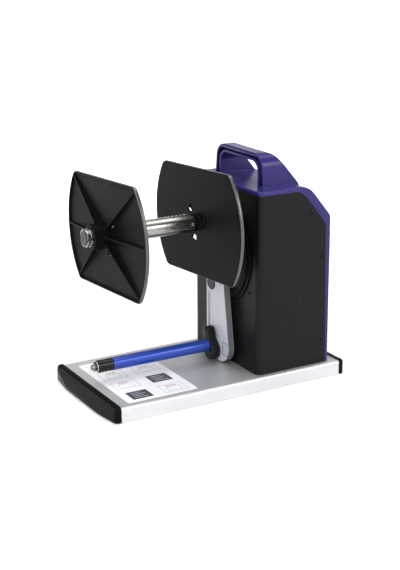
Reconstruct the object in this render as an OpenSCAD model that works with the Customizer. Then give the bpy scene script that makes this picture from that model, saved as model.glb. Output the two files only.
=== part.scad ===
// Desktop label rewinder: an aluminium base carries an upright housing, and a driven
// mandrel with two flanges winds the labels above a dancer arm with a guide roller.
// X runs along the base and the mandrel, Y across, Z up. The origin is on the table,
// under the middle of the base.

/* [Base] */
// Length of the aluminium extrusion
base_l = 340; // [300:1:400]
// Width of the extrusion
base_w = 186; // [180:1:220]
// Height of the extrusion
base_h = 20; // [16:1:26]
// Thickness of its top, bottom and side skins
base_skin = 2.5; // [2:0.1:3.5]
// Thickness of the inner webs
base_web = 2; // [1.5:0.1:3]
// Number of hollow cells across the width
base_cells = 6; // [6:2:8]
// Radius along the upper long edges
base_edge_r = 3.5; // [0.5:0.1:4]

/* [End caps] */
// How far a cap reaches past the extrusion
cap_l = 15; // [12:0.5:22]
// Height of the low outer lip
cap_lip = 5; // [3:0.5:8]
// Width of the level strip beside the extrusion
cap_flat = 6; // [4:0.5:7]
// How far the cap stands proud of the extrusion's sides
cap_proud = 0.8; // [0.3:0.1:1.5]
// How far the cap stands above the extrusion
cap_rise = 1.8; // [0.5:0.1:2.5]
// How much of the length is left at the drawn-in ends
cap_end_l = 8.5; // [8:0.5:10]
// Length of each drawn-in end along the width
cap_turn = 48; // [30:1:60]
// Depth of the spigots that hold a cap in the hollow cells
cap_spigot = 14; // [8:1:25]

/* [Feet] */
// Diameter of a rubber foot
foot_d = 18; // [12:0.5:24]
// How far a foot stands below the base
foot_proud = 1; // [0.6:0.1:3]
// Depth of the recess that holds a foot
foot_sunk = 1.2; // [0.8:0.1:1.6]
// Distance of a foot from the end of the extrusion
foot_end = 24; // [18:1:50]
// Distance of a foot from the side of the extrusion
foot_side = 18; // [14:1:30]

/* [Housing] */
// Place of the housing's front face
house_x = 40; // [36:1:46]
// Depth of the housing, front face to back
house_d = 116; // [112:1:122]
// Width of the housing
house_w = 170; // [160:1:176]
// Height of the black side walls above the mandrel's axis
house_over = 46; // [42:1:60]
// Thickness of the moulded walls
house_wall = 3; // [2:0.1:4]
// Radius of the upright front corners
house_r = 8; // [5:0.5:14]
// Thickness of the coloured lid seen from the side
lid_t = 5; // [4:0.5:8]
// How far forward of the back the rear slope starts
slope_d = 36; // [28:1:40]
// How far the rear slope drops
slope_drop = 44; // [36:1:52]
// Width of the coloured band on the back, at the foot
band_low = 4.5; // [3.5:0.5:6]
// Width of the coloured band on the back, at the slope
band_high = 8; // [6:0.5:10]

/* [Handle] */
// Width of the carrying handle at its foot
handle_w = 125; // [110:1:140]
// Height of the handle above the lid
handle_h = 43; // [38:1:55]
// Distance of the handle's front from the housing's front
handle_back = 21; // [14:1:26]
// Depth of the grip bar
handle_bar_d = 22; // [18:1:26]
// Depth of a leg at its foot
handle_foot_d = 57; // [48:1:60]
// Width of a leg, seen from the front
handle_leg = 15; // [12:0.5:18]
// Height of the grip bar, seen from the front
handle_bar_h = 11; // [9:0.5:14]
// Thickness of the rims on both sides of the open channel
handle_rim = 3.5; // [2.5:0.1:4.2]
// Radius of the handle's upper corners
handle_r = 20; // [12:1:24]
// How much narrower each side is at the top
handle_lean = 4.5; // [0:0.5:7]

/* [Reel] */
// Diameter of the mandrel, for one-inch cores
mandrel_d = 25; // [24:0.1:25.4]
// Length of the mandrel in front of the housing
mandrel_l = 211.5; // [200:0.5:218]
// Width of the slots along the mandrel
slot_w = 4; // [3:0.1:5]
// Depth of the slots
slot_d = 3; // [2.4:0.1:3.2]
// Diameter of the drive shaft in the mandrel and the bearings
shaft_d = 15; // [12:0.5:15]
// Angle at which the reel stands
reel_angle = -3.4; // [-20:0.1:20]
// Spacing of the notches of the width rack
notch_pitch = 6; // [4:0.5:10]
// Depth of the notches
notch_d = 1.4; // [0.8:0.1:2]

/* [Flanges] */
// Radius of a flange's round sides
flange_r = 115.5; // [100:0.5:120]
// Half the distance between its two flats
flange_half = 74.5; // [65:0.5:85]
// Radius of its corners
flange_corner = 11; // [4:0.5:14]
// Thickness of its web
flange_web = 3; // [2:0.1:4]
// Depth of its rim
flange_rim = 6; // [5:0.1:9]
// Width of its rim
flange_rim_w = 3; // [2:0.1:4]
// Thickness of a rib
rib_t = 2.4; // [1.6:0.1:3.5]
// Height of a rib at the hub
rib_h = 12.5; // [8:0.5:15]
// Diameter of the hub
hub_d = 34; // [32:0.5:38]
// Length of the hub from the flat face
hub_l = 27; // [20:0.5:28]
// Distance of the inner flange's face from the housing
inner_gap = 46; // [44:0.5:50]
// Distance between the flat faces of the flanges
reel_gap = 130.5; // [110:0.5:132]

/* [Dancer arm] */
// Distance of the arm's pivot below the mandrel's axis
pivot_drop = 50; // [48:1:52]
// Length of the arm, pivot to roller
arm_l = 128.5; // [120:0.5:145]
// Gap between the arm's lower end and the base
sweep_gap = 1.5; // [1.5:0.1:3]
// Thickness of the arm
arm_t = 9; // [7:0.5:10]
// Radius of the arm's pivot end
arm_r_top = 20; // [16:0.5:22]
// Radius of the corners at its roller end
arm_r_low = 23; // [20:0.5:25]
// Width of its roller end
arm_low_w = 59.5; // [52:0.5:62]
// How far the pivot end lies off the pivot, to the far side
arm_top_off = 6; // [0:0.5:8]
// How far the roller end lies off the roller, to the near side
arm_low_off = 4; // [0:0.5:6]
// Diameter of the pivot axle
axle_d = 12; // [10:0.5:14]
// Distance between the arm and the front bezel
arm_gap = 0.6; // [0.4:0.1:1]

/* [Bezel] */
// Radius of the round front bezel at its foot
bezel_r = 66.5; // [64:0.5:70]
// Radius of its raised face
bezel_face_r = 61; // [58:0.5:62]
// Thickness of its foot ring
bezel_foot_t = 2.5; // [2:0.1:3]
// Thickness of the bezel
bezel_t = 5.4; // [4.5:0.1:6]

/* [Roller] */
// Diameter of the blue roller tube
roller_d = 18; // [16:0.5:20]
// Length of the tube
roller_l = 147; // [130:1:150]
// Bore of the tube
roller_bore = 14; // [12:0.5:14]
// Length of the black bush beyond the tube
bush_l = 22; // [16:0.5:26]
// Diameter of the fixed spindle
spindle_d = 8; // [6:0.5:9]
// How far the spindle stands past the bush
spindle_tip = 9; // [7:0.5:12]

/* [Clamp knob] */
// Radius of the knob's round end
knob_r_low = 14; // [12:0.5:16]
// Radius of its lever end
knob_r_top = 7; // [5:0.5:9]
// Distance of the round end's middle below the spindle
knob_drop = 8; // [5:0.5:9]
// Height of the lever end's middle above the spindle
knob_rise = 17.3; // [15:0.1:20]
// How far the lever end leans to the far side
knob_lean = 8.3; // [4:0.1:10]
// Radius of the hollow in the knob's near flank
knob_hollow = 30; // [20:1:40]
// Thickness of the knob
knob_t = 14; // [11:0.5:15]

/* [Drive] */
// Tooth size of the gears
gear_module = 1.25; // [1.2:0.05:1.3]
// Teeth on the mandrel's gear
gear_teeth = 48; // [44:2:48]
// Teeth on the motor's pinion
pinion_teeth = 16; // [16:1:18]
// Width of the gears
gear_t = 8; // [6:0.5:10]
// Play between the teeth
gear_play = 0.25; // [0.2:0.01:0.4]
// Direction from the mandrel to the motor, from level
motor_angle = -26; // [-30:1:-20]
// Diameter of the motor
motor_d = 37; // [32:1:38]
// Length of the motor
motor_l = 50; // [40:1:54]
// Diameter of the motor's shaft
motor_shaft_d = 6; // [5:0.5:7]
// Outer diameter of the mandrel's bearings
bearing_d = 28; // [26:0.5:32]
// Width of the bearings
bearing_t = 7; // [6:0.5:8]

/* [Frame] */
// Thickness of the steel frame
frame_t = 3; // [2:0.1:4]
// Depth of the frame, outside
frame_d = 40; // [38:0.5:44]
// Width of the frame
frame_w = 150; // [140:1:156]
// Height of the frame above the mandrel's axis
frame_over = 29; // [24:1:33]

/* [Fits] */
// Play of a running fit, on the radius
run_fit = 0.05; // [0.02:0.01:0.09]
// Play of the sliding flange on the mandrel, on the radius
slide_fit = 0.09; // [0.05:0.01:0.1]
// Play between pieces that only lie beside each other
lay_gap = 0.2; // [0.1:0.05:0.3]

/* [Hidden] */
$fn = 64;
// Overlap of solids that are joined, and how far a cutting tool passes a face
eps = 0.01;
over = 1;

// Heights
base_z = foot_proud;
deck_z = base_z + base_h;
roller_z = deck_z + sweep_gap + max(arm_r_low, knob_drop + knob_r_low);
pivot_z = roller_z + arm_l;
axis_z = pivot_z + pivot_drop;
wall_top = axis_z + house_over;
lid_z = wall_top + lid_t;
house_h = wall_top - deck_z;
frame_h = axis_z + frame_over - deck_z;

// Places along X
knob_gap = 1;
back_x = house_x + house_d;
wall_x = house_x + house_wall;
arm_x1 = house_x - bezel_t - arm_gap;
arm_x0 = arm_x1 - arm_t;
knob_x1 = arm_x0 - lay_gap;
knob_x0 = knob_x1 - knob_t;
tube_x1 = knob_x0 - knob_gap;
tube_x0 = tube_x1 - roller_l;
bush_x0 = tube_x0 - bush_l;
inner_x = house_x - inner_gap;
outer_x = inner_x - reel_gap;
tip_x = house_x - mandrel_l;
hub_end_x = inner_x + hub_l;
frame_x0 = wall_x + lay_gap;
frame_x1 = frame_x0 + frame_d;
plate_x = frame_x1 - frame_t;
gear_x = frame_x0 + frame_t + bearing_t;
motor_x = frame_x1 + lay_gap;

// Gear sizes
pressure = 20;
gear_r = gear_module * gear_teeth / 2;
pinion_r = gear_module * pinion_teeth / 2;
motor_y = (gear_r + pinion_r) * cos(motor_angle);
motor_z = axis_z + (gear_r + pinion_r) * sin(motor_angle);

// Base cells
cell_w = (base_w - 2 * base_skin - (base_cells - 1) * base_web) / base_cells;
cell_h = base_h - 2 * base_skin;
cell_pitch = cell_w + base_web;

// Fasteners
screw_d = 3;
screw_hole = screw_d + 2 * lay_gap;
screw_head = 5;
screw_head_t = 1.6;
bolt_d = 5;
bolt_hole = bolt_d + 2 * lay_gap;
bolt_head = 9;
bolt_head_t = 4;
clip_t = 1;
clip_wall = 2;
clip_groove = 0.6;
clip_mouth = 4;

// Points along an arc, and an outline with each corner rounded by a tangent arc
function arc(c, r, a0, a1, n) =
    [for (i = [0 : n]) let (a = a0 + (a1 - a0) * i / n) c + r * [cos(a), sin(a)]];
function unit(v) = v / norm(v);
function corner(a, b, c, r) =
    let (u = unit(a - b), w = unit(c - b))
    let (half = acos(max(-1, min(1, u * w))) / 2)
    let (centre = b + unit(u + w) * r / sin(half))
    let (p = b + u * r / tan(half) - centre, q = b + w * r / tan(half) - centre)
    let (start = atan2(p.y, p.x), turn = atan2(q.y, q.x) - start)
    let (short = turn > 180 ? turn - 360 : (turn < -180 ? turn + 360 : turn))
    arc(centre, r, start, start + short, 10);
function rounded(pts, radii) =
    let (n = len(pts))
    [for (i = [0 : n - 1])
        each radii[i] > 0 ? corner(pts[(i + n - 1) % n], pts[i], pts[(i + 1) % n], radii[i]) : [pts[i]]];

// Extrusion of a front view (Y, Z) along X, and of a side view (X, Z) across Y
module front_view(x, t) {
    translate([x, 0, 0]) rotate([90, 0, 90]) linear_extrude(t) children();
}
module side_view(w) {
    translate([0, w / 2, 0]) rotate([90, 0, 0]) linear_extrude(w) children();
}
// Round bar along X from x0 to x1, and the ring left between two diameters
module bar(x0, x1, d) {
    translate([x0, 0, 0]) rotate([0, 90, 0]) cylinder(d = d, h = x1 - x0);
}
module ring(x0, x1, outer, inner) {
    difference() {
        bar(x0, x1, outer);
        bar(x0 - over, x1 + over, inner);
    }
}
// Pin across Y, starting at y
module cross_pin(p, y, d, l) {
    translate([p.x, y, p.y]) rotate([-90, 0, 0]) cylinder(d = d, h = l);
}
module at_axis() { translate([0, 0, axis_z]) children(); }
module at_pivot() { translate([0, 0, pivot_z]) children(); }
module at_roller() { translate([0, 0, roller_z]) children(); }
module at_motor() { translate([0, motor_y, motor_z]) children(); }
module at_reel() { translate([0, 0, axis_z]) rotate([reel_angle, 0, 0]) children(); }
module at_front(p) { translate([0, p.x, p.y]) children(); }
module both_sides() {
    children();
    mirror([0, 1, 0]) children();
}

// Base: a hollow aluminium extrusion, two moulded end caps, four rubber feet

foot_places = [for (sx = [-1, 1], sy = [-1, 1])
    [sx * (base_l / 2 - foot_end), sy * (base_w / 2 - foot_side)]];
bolt_places = [for (sx = [-1, 1], sy = [-1, 1])
    [frame_x0 + frame_d / 2 + sx * frame_d / 4, sy * cell_pitch * 1.5]];

module base_section() {
    r = base_edge_r;
    w = base_w / 2;
    difference() {
        polygon(rounded([[-w, 0], [w, 0], [w, base_h], [-w, base_h]], [0, 0, r, r]));
        for (i = [0 : base_cells - 1])
            translate([-w + base_skin + i * cell_pitch, base_skin]) square([cell_w, cell_h]);
    }
}
module base_plate() {
    color("silver") difference() {
        translate([0, 0, base_z]) front_view(-base_l / 2, base_l) base_section();
        for (p = foot_places)
            translate([p.x, p.y, base_z - eps]) cylinder(d = foot_d + 2 * lay_gap, h = foot_sunk + eps);
        for (p = bolt_places)
            translate([p.x, p.y, deck_z - base_skin - over])
                cylinder(d = bolt_hole, h = base_skin + 2 * over);
    }
}

cap_corner_r = 6.5;
cap_turn_r = 20;
cap_foot_r = 3;
cap_lip_r = 6;
cap_top_r = 5;
cap_side_r = 5;
cap_h = base_h + cap_rise;
module cap_plan() {
    w = base_w / 2 + cap_proud;
    polygon(rounded([[0, -w], [cap_end_l, -w], [cap_l, cap_turn - w], [cap_l, w - cap_turn],
        [cap_end_l, w], [0, w]], [0, cap_corner_r, cap_turn_r, cap_turn_r, cap_corner_r, 0]));
}
module cap_side() {
    polygon(rounded([[0, 0], [cap_l, 0], [cap_l, cap_lip], [cap_flat, cap_h], [0, cap_h]],
        [0, cap_foot_r, cap_lip_r, cap_top_r, 0]));
}
module cap_front() {
    r = cap_side_r;
    w = base_w / 2 + cap_proud;
    polygon(rounded([[-w, -over], [w, -over], [w, cap_h], [-w, cap_h]], [0, 0, r, r]));
}
module end_cap() {
    intersection() {
        linear_extrude(cap_h) cap_plan();
        side_view(2 * base_w) cap_side();
        front_view(-over, cap_l + 2 * over) cap_front();
    }
    for (i = [1, base_cells - 2])
        translate([-cap_spigot, i * cell_pitch + base_skin + lay_gap - base_w / 2, base_skin + lay_gap])
            cube([cap_spigot + eps, cell_w - 2 * lay_gap, cell_h - 2 * lay_gap]);
}
module right_end_cap() {
    color("dimgray") translate([base_l / 2, 0, base_z]) end_cap();
}
module left_end_cap() {
    color("dimgray") translate([-base_l / 2, 0, base_z]) mirror([1, 0, 0]) end_cap();
}
module rubber_feet() {
    color("black") for (p = foot_places)
        translate([p.x, p.y, 0]) cylinder(d = foot_d, h = foot_proud + foot_sunk);
}

// Housing: a black front cover, and a coloured rear cover with the lid and the handle

// Side view of the black walls, and of the whole housing with its coloured band
seam_low_r = 12;
seam_top_r = 24;
slope_low_r = 10;
slope_top_r = 30;
slope_run = slope_d / slope_drop;
slope_lean = atan(slope_run);
seam_x = back_x - band_high;
seam_top_x = back_x - slope_d - slope_run * lid_t - band_high;
seam_z = wall_top - (seam_x - seam_top_x) / slope_run;
seam_run = (back_x - band_low - seam_x) / (seam_z - deck_z);
module wall_side(inset) {
    foot = [back_x - band_low - inset * seam_run, deck_z + inset];
    polygon(rounded([[house_x + inset, deck_z + inset], foot,
        [seam_x, seam_z], [seam_top_x, wall_top], [house_x + inset, wall_top]],
        [0, 0, seam_low_r, seam_top_r, 0]));
}
module house_side(inset) {
    low = lid_z - slope_drop - inset * tan(slope_lean / 2);
    top = back_x - slope_d - inset * tan(45 - slope_lean / 2);
    polygon(rounded([[house_x + inset, deck_z - over], [back_x - inset, deck_z - over],
        [back_x - inset, low], [top, lid_z - inset], [house_x + inset, lid_z - inset]],
        [0, 0, slope_low_r, slope_top_r, 0]));
}
module house_plan(inset) {
    w = house_w / 2 - inset;
    r = house_r - inset;
    x = house_x + inset;
    polygon(rounded([[x, -w], [back_x, -w], [back_x, w], [x, w]], [r, 0, 0, r]));
}

// Screws along the rear edge of each side wall, as places in the side view
tab_low_h = 33;
tab_mid_h = 154;
tab_top_drop = 33;
tab_low_in = 6.5;
tab_mid_in = 8;
tab_top_in = 5;
tab_half = 6;
tab_t = 6;
tab_grip = 4;
tab_places = [[back_x - band_low - tab_low_in, deck_z + tab_low_h],
    [back_x - band_low - tab_mid_in, deck_z + tab_mid_h],
    [back_x - slope_d + tab_top_in, wall_top - tab_top_drop]];
bezel_screw_y = 63;
bezel_screw_dz = 41;
bezel_screw_places = [for (sy = [-1, 1], sz = [-1, 1])
    [sy * bezel_screw_y, pivot_z + sz * bezel_screw_dz]];
hole_play = 4;

module front_cover() {
    color([0.16, 0.16, 0.16]) difference() {
        intersection() {
            side_view(house_w) wall_side(0);
            linear_extrude(lid_z) house_plan(0);
        }
        intersection() {
            linear_extrude(lid_z) house_plan(house_wall);
            translate([wall_x, -house_w / 2, deck_z - over]) cube([house_d, house_w, house_h + 2 * over]);
        }
        at_axis() bar(house_x - over, wall_x + over, mandrel_d + hole_play);
        at_pivot() bar(house_x - over, wall_x + over, axle_d + hole_play);
        for (p = bezel_screw_places) at_front(p) bar(house_x - over, wall_x + over, screw_hole);
        both_sides() for (p = tab_places)
            cross_pin(p, -house_w / 2 - over, screw_hole, house_wall + 2 * over);
    }
}

// Front view of the handle and of the gap for the hand, and the handle's side view
handle_gap_r = 14;
handle_foot_r = 6;
handle_top_r = 14;
handle_front_r = 1.5;
handle_x = house_x + handle_back;
handle_z = lid_z + handle_h;
module handle_outline(inset) {
    w = handle_w / 2 - inset;
    t = w - handle_lean;
    r = handle_r - inset;
    polygon(rounded([[-w, wall_top], [w, wall_top], [t, handle_z - inset], [-t, handle_z - inset]],
        [0, 0, r, r]));
}
module handle_gap(grow) {
    w = handle_w / 2 - handle_leg + grow;
    h = lid_z + handle_h - handle_bar_h + grow;
    r = handle_gap_r + grow;
    polygon(rounded([[-w, lid_z], [w, lid_z], [w, h], [-w, h]], [0, 0, r, r]));
}
module handle_side(inset) {
    foot = handle_x + handle_foot_d - inset;
    top = handle_x + handle_bar_d - inset / 2;
    z = handle_z - inset;
    polygon(rounded([[handle_x, wall_top], [foot, wall_top], [foot, lid_z], [top, z], [handle_x, z]],
        [0, 0, handle_foot_r, handle_top_r, handle_front_r]));
}
module handle() {
    difference() {
        intersection() {
            side_view(handle_w) handle_side(0);
            front_view(house_x, house_d) handle_outline(0);
        }
        front_view(house_x, house_d) handle_gap(0);
        intersection() {
            side_view(handle_w) translate([-eps, 0]) handle_side(handle_rim);
            front_view(house_x, house_d) difference() {
                handle_outline(handle_rim);
                handle_gap(handle_rim);
                translate([-handle_w, wall_top - lid_t]) square([2 * handle_w, 2 * lid_t]);
            }
        }
    }
}

inlet_y = 40;
inlet_up = 24;
inlet_z = deck_z + inlet_up;
inlet_d = 11;
switch_y = -36;
switch_up = 26;
switch_z = deck_z + switch_up;
switch_w = 13;
switch_h = 19;
module screw_tab(p) {
    y = house_w / 2 - house_wall - lay_gap;
    translate([p.x - tab_half, -y, p.y - tab_half])
        cube([back_x - p.x + tab_half, tab_t, 2 * tab_half]);
}
module rear_shell() {
    difference() {
        intersection() {
            side_view(house_w) house_side(0);
            linear_extrude(lid_z) house_plan(0);
        }
        side_view(house_w + 2 * over) wall_side(-over);
        side_view(house_w - 2 * house_wall) house_side(house_wall);
        translate([0, -house_w, deck_z - 2 * over]) cube([2 * back_x, 2 * house_w, 2 * over]);
    }
}
module rear_cover() {
    color([0.28, 0.26, 0.55]) difference() {
        union() {
            rear_shell();
            handle();
            both_sides() for (p = tab_places) intersection() {
                screw_tab(p);
                side_view(house_w) house_side(house_wall / 2);
            }
        }
        both_sides() for (p = tab_places)
            cross_pin(p, -house_w / 2, screw_d + lay_gap, house_wall + lay_gap + tab_t);
        translate([0, inlet_y, inlet_z]) bar(back_x - 2 * house_wall, back_x + over, inlet_d + 2 * lay_gap);
        switch_box(back_x - 2 * house_wall, 3 * house_wall, lay_gap);
    }
}

// Round stepped bezel on the front, with holes for the mandrel's shaft and the axle
bezel_groove_in = 3;
bezel_groove_w = 2;
bezel_groove_d = 1;
module front_bezel() {
    face = house_x - bezel_t;
    color([0.13, 0.13, 0.13]) difference() {
        at_pivot() union() {
            bar(house_x - bezel_foot_t, house_x, 2 * bezel_r);
            bar(face, house_x, 2 * bezel_face_r);
        }
        at_pivot() bar(face - over, house_x + over, axle_d + hole_play);
        at_axis() bar(face - over, house_x + over, mandrel_d + hole_play);
        at_pivot() ring(face - over, face + bezel_groove_d, 2 * (bezel_face_r - bezel_groove_in),
            2 * (bezel_face_r - bezel_groove_in - bezel_groove_w));
    }
}

// Screws: a head and a plain shank
module screw(l) {
    cylinder(d = screw_head, h = screw_head_t);
    translate([0, 0, -l]) cylinder(d = screw_d, h = l + eps);
}
module bezel_screws() {
    color("black") for (p = bezel_screw_places)
        translate([house_x, p.x, p.y]) rotate([0, -90, 0]) screw(house_wall + lay_gap + frame_t);
}
module cover_screws() {
    color("black") both_sides() for (p = tab_places)
        translate([p.x, -house_w / 2, p.y]) rotate([90, 0, 0]) screw(house_wall + lay_gap + tab_grip);
}

// Inner frame: one bent steel sheet, two uprights on a floor, that carries the bearings

frame_shoulder = 20;
frame_shoulder_h = 40;
frame_r = 10;
window_w = 26;
window_low = 8;
window_top = 12;
window_z = deck_z + frame_t + window_low;
window_h = pivot_z - bezel_screw_dz - window_z - window_top;
window_r = 6;
bush_wall = 3;
shaft_play = 2;
module frame_side() {
    z = deck_z + frame_h;
    f = deck_z + frame_t;
    polygon([[frame_x0, deck_z], [frame_x1, deck_z], [frame_x1, z], [plate_x, z], [plate_x, f],
        [frame_x0 + frame_t, f], [frame_x0 + frame_t, z], [frame_x0, z]]);
}
module frame_front() {
    w = frame_w / 2;
    t = w - frame_shoulder;
    z = deck_z + frame_h;
    s = z - frame_shoulder_h;
    difference() {
        polygon(rounded([[-w, deck_z], [w, deck_z], [w, s], [t, z], [-t, z], [-w, s]],
            [0, 0, frame_r, frame_r, frame_r, frame_r]));
        for (side = [-1, 1]) translate([side * frame_w / 4 - window_w / 2, window_z])
            polygon(rounded([[0, 0], [window_w, 0], [window_w, window_h], [0, window_h]],
                [window_r, window_r, window_r, window_r]));
    }
}
module bearing_frame() {
    color("slategray") difference() {
        intersection() {
            side_view(frame_w) frame_side();
            front_view(frame_x0, frame_d) frame_front();
        }
        at_axis() bar(frame_x0 - over, frame_x1 + over, bearing_d);
        at_pivot() bar(frame_x0 - over, frame_x1 + over, axle_d + 2 * bush_wall);
        at_motor() bar(plate_x - over, frame_x1 + over, motor_shaft_d + 2 * shaft_play);
        at_motor() for (p = motor_screw_places) at_front(p)
            bar(plate_x - over, frame_x1 + over, screw_hole);
        for (p = bezel_screw_places) at_front(p)
            bar(frame_x0 - over, frame_x0 + frame_t + over, screw_hole);
        for (p = post_places) at_front(p) bar(plate_x - over, frame_x1 + over, screw_hole);
        for (p = bolt_places)
            translate([p.x, p.y, deck_z - over]) cylinder(d = bolt_hole, h = frame_t + 2 * over);
    }
}
// Hexagon bolts through the base's top skin, with nuts in the hollow cells
module frame_bolts() {
    low = base_skin + bolt_head_t;
    color("gray") for (p = bolt_places) translate([p.x, p.y, deck_z]) {
        translate([0, 0, frame_t]) cylinder(d = bolt_head, h = bolt_head_t, $fn = 6);
        translate([0, 0, -low]) cylinder(d = bolt_d, h = low + frame_t + eps);
        translate([0, 0, -low]) cylinder(d = bolt_head, h = bolt_head_t, $fn = 6);
    }
}

// Bearings in the frame, with a shield groove between the rings
seal_d = 0.6;
outer_race = 2;
inner_race = 2.5;
module bearing(x) {
    at_axis() difference() {
        bar(x, x + bearing_t, bearing_d);
        bar(x - over, x + bearing_t + over, shaft_d + 2 * run_fit);
        for (side = [x - over, x + bearing_t - seal_d])
            ring(side, side + over + seal_d, bearing_d - 2 * outer_race, shaft_d + 2 * inner_race);
    }
}
module front_bearing() { color("lightsteelblue") bearing(frame_x0); }
module rear_bearing() { color("lightsteelblue") bearing(frame_x1 - bearing_t); }

// Flanged bushes for the arm's axle
bush_rim = 1.5;
module pivot_bushes() {
    color("goldenrod") at_pivot() for (x = [frame_x0, plate_x]) difference() {
        union() {
            bar(x, x + frame_t, axle_d + 2 * bush_wall);
            bar(x + frame_t, x + frame_t + bush_rim, axle_d + 3 * bush_wall);
        }
        bar(x - over, x + frame_t + bush_rim + over, axle_d + 2 * run_fit);
    }
}

// Geared motor behind the frame: gearbox, can, end boss and a centring collar
motor_box_l = motor_l * 0.45;
motor_bore_l = motor_l * 0.4;
motor_step = 4.5;
motor_can_d = motor_d - 2 * motor_step;
motor_boss_d = 8;
motor_boss_l = 3;
motor_collar = 1.5;
motor_screw_l = 5;
motor_screw_in = 3.5;
motor_screw_r = motor_d / 2 - motor_screw_in;
motor_screw_places = [for (a = [45 : 90 : 315]) motor_screw_r * [cos(a), sin(a)]];
module gear_motor() {
    end = motor_x + motor_l;
    color("darkgray") at_motor() difference() {
        union() {
            bar(motor_x, motor_x + motor_box_l, motor_d);
            bar(motor_x, end, motor_can_d);
            bar(motor_x, end + motor_boss_l, motor_boss_d);
            bar(plate_x, motor_x + eps, motor_shaft_d + 2 * motor_collar);
        }
        bar(plate_x - over, motor_x + motor_bore_l, motor_shaft_d + 2 * run_fit);
        for (p = motor_screw_places) at_front(p)
            bar(motor_x - over, motor_x + motor_screw_l + over, screw_d + lay_gap);
    }
}
module motor_screws() {
    color("black") at_motor() for (p = motor_screw_places)
        translate([plate_x, p.x, p.y]) rotate([0, -90, 0]) screw(frame_t + lay_gap + motor_screw_l);
}

// Position sensor around the end of the arm's axle
sensor_w = 32;
sensor_h = 28;
sensor_d = 9;
sensor_wall = 3;
module arm_sensor() {
    color("darkgreen") at_pivot() difference() {
        translate([frame_x1, -sensor_w / 2, -sensor_h / 2]) cube([sensor_d, sensor_w, sensor_h]);
        bar(frame_x1 - over, frame_x1 + sensor_d - sensor_wall, axle_d + 4 * bush_wall);
    }
}

// Control board on four posts behind the frame, its parts given as
// place across, place up, width, height off the board
board_w = 124;
board_h = 60;
board_t = 1.6;
board_edge = 5;
board_part_h = 12;
board_parts = [[-38, 8, 16, 12], [-8, 12, 14, 9], [14, -10, 22, 4], [-30, -16, 18, 7]];
post_l = 10;
post_d = 6;
post_nut = 2;
board_x = frame_x1 + post_l;
board_up = 60;
board_z = deck_z + board_up;
post_places = [for (sy = [-1, 1], sz = [-1, 1])
    [sy * (board_w / 2 - board_edge), board_z + sz * (board_h / 2 - board_edge)]];
module control_board() {
    color("seagreen") difference() {
        union() {
            translate([board_x, -board_w / 2, board_z - board_h / 2]) cube([board_t, board_w, board_h]);
            for (c = board_parts)
                translate([board_x + board_t - eps, c[0], board_z + c[1] - board_part_h / 2])
                    cube([c[3], c[2], board_part_h]);
        }
        for (p = post_places) at_front(p) bar(board_x - over, board_x + board_t + over, screw_hole);
    }
}
module board_posts() {
    end = board_x + board_t;
    color("gold") for (p = post_places) at_front(p) {
        bar(plate_x, end + eps, screw_d);
        bar(frame_x1, board_x, post_d);
        bar(end, end + post_nut, post_d);
    }
}

// Power inlet in the back wall: a barrel socket with a centre pin, held by a nut
inlet_l = 16;
inlet_bore = 6.5;
inlet_bore_l = 10;
inlet_mouth = 8;
inlet_pin = 2.1;
inlet_rim = 2;
inlet_rim_t = 1.5;
inlet_nut_t = 3;
module dc_inlet() {
    color("black") translate([0, inlet_y, inlet_z]) {
        difference() {
            union() {
                bar(back_x - inlet_l, back_x + eps, inlet_d);
                bar(back_x, back_x + inlet_rim_t, inlet_d + 2 * inlet_rim);
                bar(back_x - house_wall - inlet_nut_t, back_x - house_wall, inlet_d + 2 * inlet_rim);
            }
            bar(back_x - inlet_bore_l, back_x + inlet_rim_t + over, inlet_bore);
            bar(back_x, back_x + inlet_rim_t + over, inlet_mouth);
        }
        bar(back_x - inlet_bore_l - eps, back_x - over, inlet_pin);
    }
}

// Direction switch in the back wall: a body with a rim, and a rocker on a cross pin
switch_l = 18;
switch_rim = 2;
switch_rim_t = 1.6;
switch_pit = 9;
rocker_w = switch_w - 4;
rocker_h = switch_h - 5;
rocker_play = 0.5;
rocker_tilt = 10;
rocker_pin = 2;
rocker_pin_l = switch_w - 2;
rocker_deep = 3;
module switch_box(x, l, grow) {
    translate([x, switch_y - switch_w / 2 - grow, switch_z - switch_h / 2 - grow])
        cube([l, switch_w + 2 * grow, switch_h + 2 * grow]);
}
module switch_body() {
    w = rocker_w + 2 * rocker_play;
    h = rocker_h + 2 * rocker_play;
    pin_l = rocker_pin_l + 2 * lay_gap;
    color("black") difference() {
        union() {
            switch_box(back_x - switch_l, switch_l + eps, 0);
            switch_box(back_x, switch_rim_t, switch_rim);
        }
        translate([back_x - switch_pit, switch_y - w / 2, switch_z - h / 2])
            cube([switch_pit + switch_rim_t + over, w, h]);
        cross_pin([back_x - rocker_deep, switch_z], switch_y - pin_l / 2, rocker_pin + 2 * run_fit, pin_l);
    }
}
rocker_back = 3;
rocker_foot = 3.9;
rocker_step = 2;
rocker_dip = 3.4;
rocker_rise = 5.4;
rocker_in = 0.6;
module rocker_side() {
    h = rocker_h / 2 - rocker_in;
    polygon([[-rocker_back, -rocker_foot], [rocker_step, -h], [rocker_rise, -h], [rocker_dip, 0],
        [rocker_rise, h], [rocker_step, h], [-rocker_back, rocker_foot]]);
}
module switch_rocker() {
    color([0.1, 0.1, 0.1]) translate([back_x - rocker_deep, switch_y, switch_z])
        rotate([0, rocker_tilt, 0]) {
            side_view(rocker_w) rocker_side();
            cross_pin([0, 0], -rocker_pin_l / 2, rocker_pin, rocker_pin_l);
        }
}

// Reel: a slotted mandrel on the drive shaft, a fixed and a sliding flange

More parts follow.
